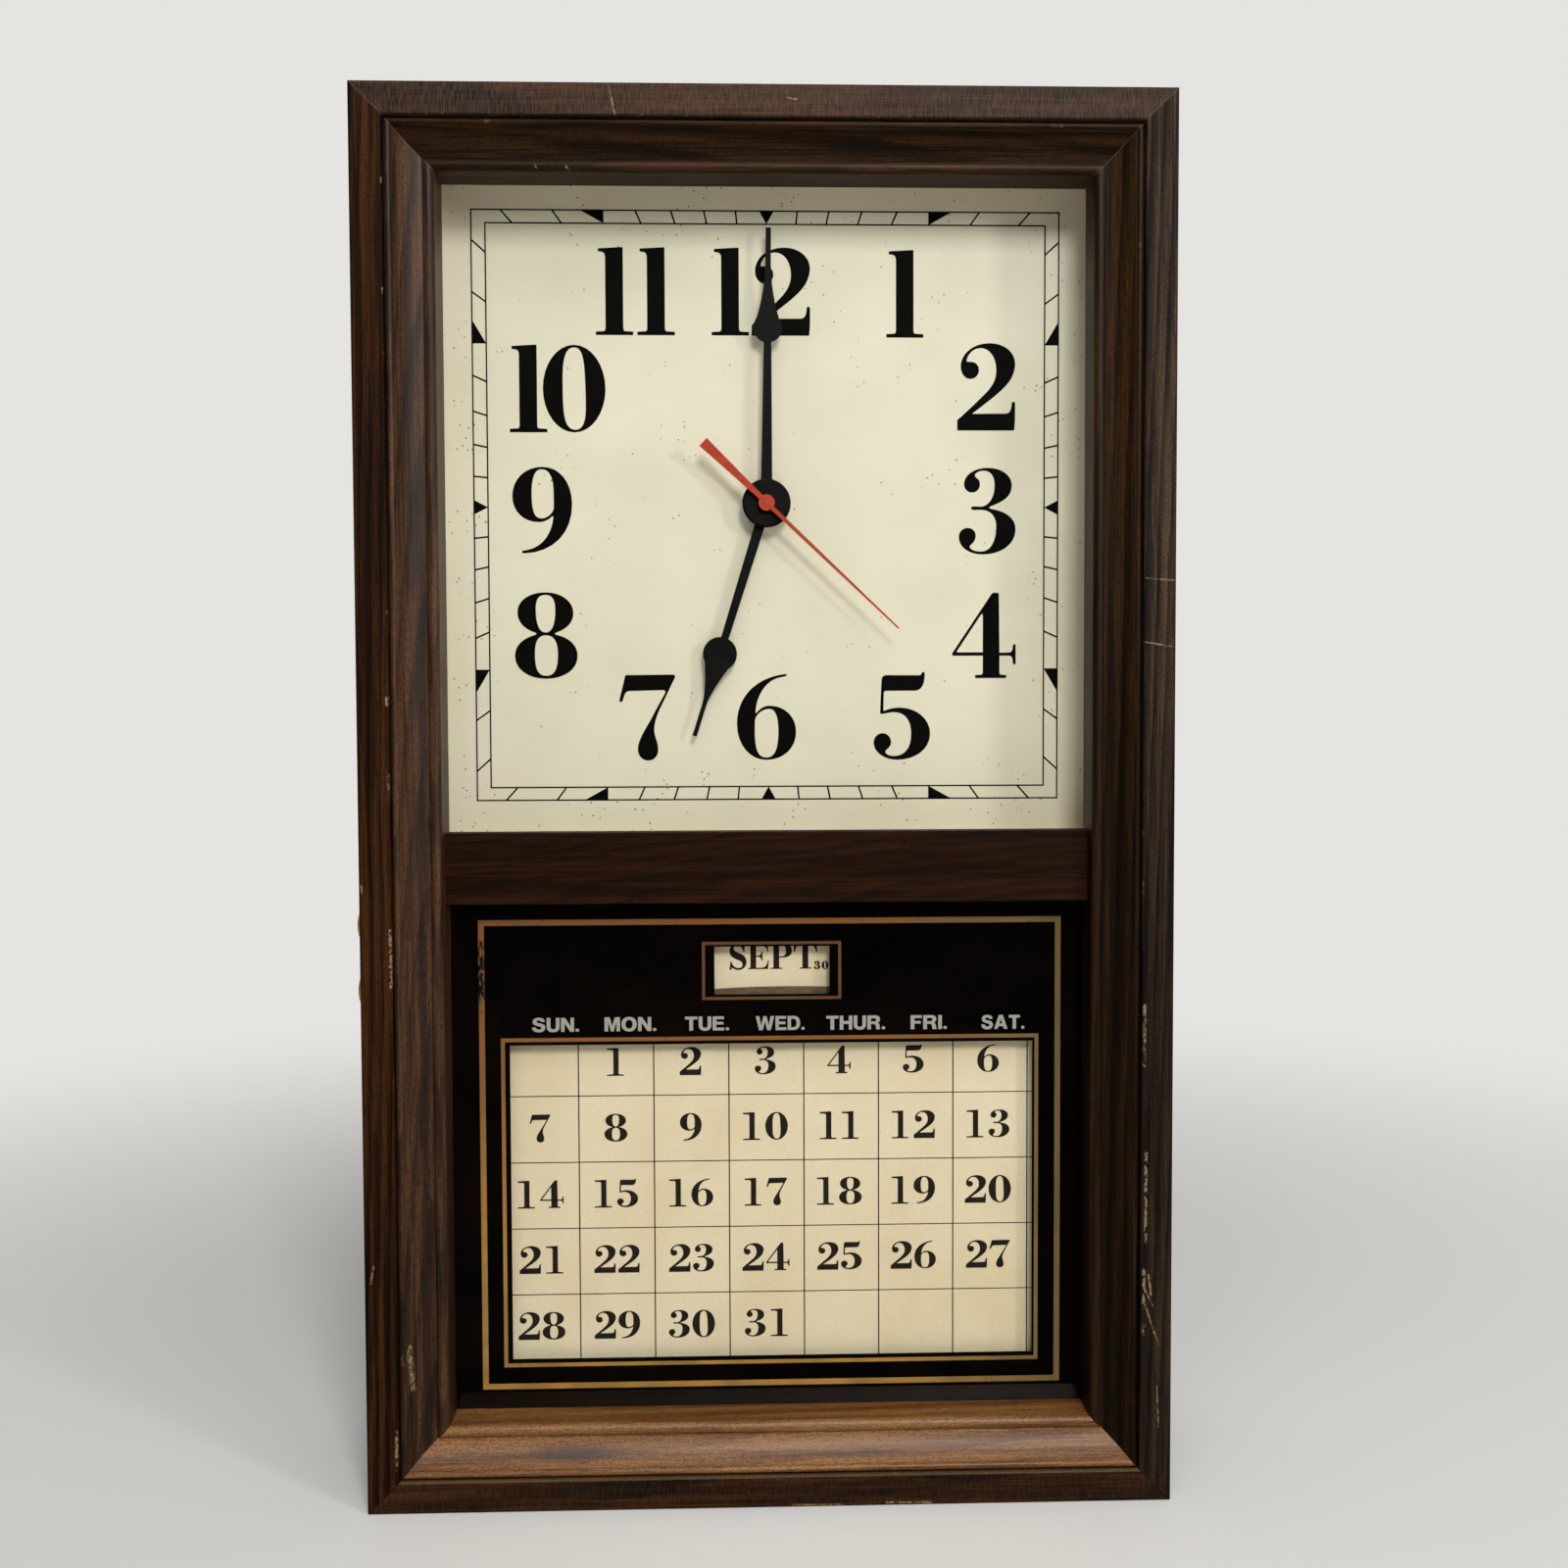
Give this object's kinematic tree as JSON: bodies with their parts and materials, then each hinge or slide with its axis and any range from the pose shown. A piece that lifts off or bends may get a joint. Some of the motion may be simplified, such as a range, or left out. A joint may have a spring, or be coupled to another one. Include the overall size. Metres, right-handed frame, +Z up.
{
  "type": "calendar wall clock",
  "caption": "Wooden wall clock with a square dial above a paper calendar behind black glass, turned by side knobs, with a battery movement and a keyhole hanger.",
  "frame": {"origin": "centre of the bottom face of the case", "axes": "+Z up, +Y from the front into the wall, +X to the right seen from the front"},
  "size_m": [0.338, 0.082, 0.558],
  "materials": {
    "walnut": "dark stained walnut under worn satin varnish",
    "window_glass": "clear float glass",
    "black_coat": null,
    "softwood": "planed unfinished pine",
    "hardboard": "brown pressed hardboard",
    "cream_enamel": "cream enamel, satin, with black print",
    "black_plastic": "moulded black plastic, fine texture",
    "brass": "turned brass, lightly dulled",
    "brassed_screws": "brass-plated steel screws",
    "zinc_steel": "zinc-plated steel",
    "battery_sleeve": "plain printed sleeve on a steel can",
    "circuit_laminate": "green solder resist on laminate",
    "copper_wire": "enamelled copper wire",
    "white_plastic": "off-white acetal",
    "black_hands": "black satin paint on brass sheet",
    "red_hand": "red satin paint",
    "aluminium_sheet": "mill finish sheet",
    "calendar_paper": "aged buff printing paper"
  },
  "bodies": {
    "case": {"case_top": "walnut", "case_bottom": "walnut", "case_left": "walnut", "case_right": "walnut", "moulding_top": "walnut", "moulding_bottom": "walnut", "moulding_left": "walnut", "moulding_right": "walnut", "middle_rail": "walnut", "dial_glass": "window_glass", "calendar_glass": "window_glass", "calendar_mask": "black_coat", "dial_cleats": "softwood", "cross_cleat": "softwood", "bottom_cleat": "softwood", "back_battens": "softwood", "hanging_rail": "softwood", "back_panel": "hardboard", "dial_plate": "cream_enamel", "movement_housing": "black_plastic", "movement_cover": "black_plastic", "threaded_bush": "brass", "dial_washer": "brass", "hex_nut": "brass", "hanger_plate": "brass", "dial_screws": "brassed_screws", "back_screws": "brassed_screws", "hanger_screws": "brassed_screws", "bracket_screws": "zinc_steel", "battery_contacts": "zinc_steel", "battery_cell": "battery_sleeve", "circuit_board": "circuit_laminate", "drive_coil": "copper_wire", "calendar_bracket_left": "white_plastic", "calendar_bracket_right": "white_plastic", "date_platen": "aluminium_sheet", "date_sheet": "calendar_paper", "month_strip": "calendar_paper"},
    "minute_hand_set": {"minute_arbor": "brass", "minute_hand": "black_hands", "minute_boss": "black_hands"},
    "hour_hand_set": {"hour_wheel": "white_plastic", "hour_hand": "black_hands"},
    "setting_set": {"motion_wheel": "white_plastic", "setting_knob": "white_plastic"},
    "second_hand_set": {"seconds_arbor": "brass", "second_hand": "red_hand"},
    "date_upper_set": {"date_roller_upper": "white_plastic", "date_paper_upper": "calendar_paper", "date_knob_upper": "brass"},
    "date_lower_set": {"date_roller_lower": "white_plastic", "date_paper_lower": "calendar_paper", "date_knob_lower": "brass"},
    "month_upper_set": {"month_roller_upper": "white_plastic", "month_paper_upper": "calendar_paper", "month_knob_upper": "brass"},
    "month_lower_set": {"month_roller_lower": "white_plastic", "month_paper_lower": "calendar_paper", "month_knob_lower": "brass"}
  },
  "joints": [
    {"name": "minute_hand_spin", "type": "hinge", "parent": "case", "child": "minute_hand_set", "pos_m": [0, 0.01, 0.4022], "axis": [0, 1, 0], "continuous": true},
    {"name": "hour_hand_spin", "type": "hinge", "parent": "case", "child": "hour_hand_set", "pos_m": [0, 0.005, 0.4022], "axis": [0, 1, 0], "continuous": true},
    {"name": "setting_knob_spin", "type": "hinge", "parent": "case", "child": "setting_set", "pos_m": [-0.00849, 0.023, 0.41069], "axis": [0, 1, 0], "continuous": true},
    {"name": "second_hand_spin", "type": "hinge", "parent": "case", "child": "second_hand_set", "pos_m": [0, 0.005, 0.4022], "axis": [0, 1, 0], "continuous": true},
    {"name": "date_upper_spin", "type": "hinge", "parent": "case", "child": "date_upper_set", "pos_m": [0, 0, 0.187], "axis": [1, 0, 0], "continuous": true},
    {"name": "date_lower_spin", "type": "hinge", "parent": "case", "child": "date_lower_set", "pos_m": [0, 0, 0.042], "axis": [1, 0, 0], "continuous": true},
    {"name": "month_upper_spin", "type": "hinge", "parent": "case", "child": "month_upper_set", "pos_m": [0, 0, 0.2295], "axis": [1, 0, 0], "continuous": true},
    {"name": "month_lower_spin", "type": "hinge", "parent": "case", "child": "month_lower_set", "pos_m": [0, 0, 0.2024], "axis": [1, 0, 0], "continuous": true}
  ],
  "couplings": [
    {"joint": "hour_hand_spin", "follows": "minute_hand_spin", "ratio": 0.083333},
    {"joint": "setting_knob_spin", "follows": "minute_hand_spin", "ratio": -0.33333},
    {"joint": "date_lower_spin", "follows": "date_upper_spin", "ratio": 1},
    {"joint": "month_lower_spin", "follows": "month_upper_spin", "ratio": 1}
  ]
}
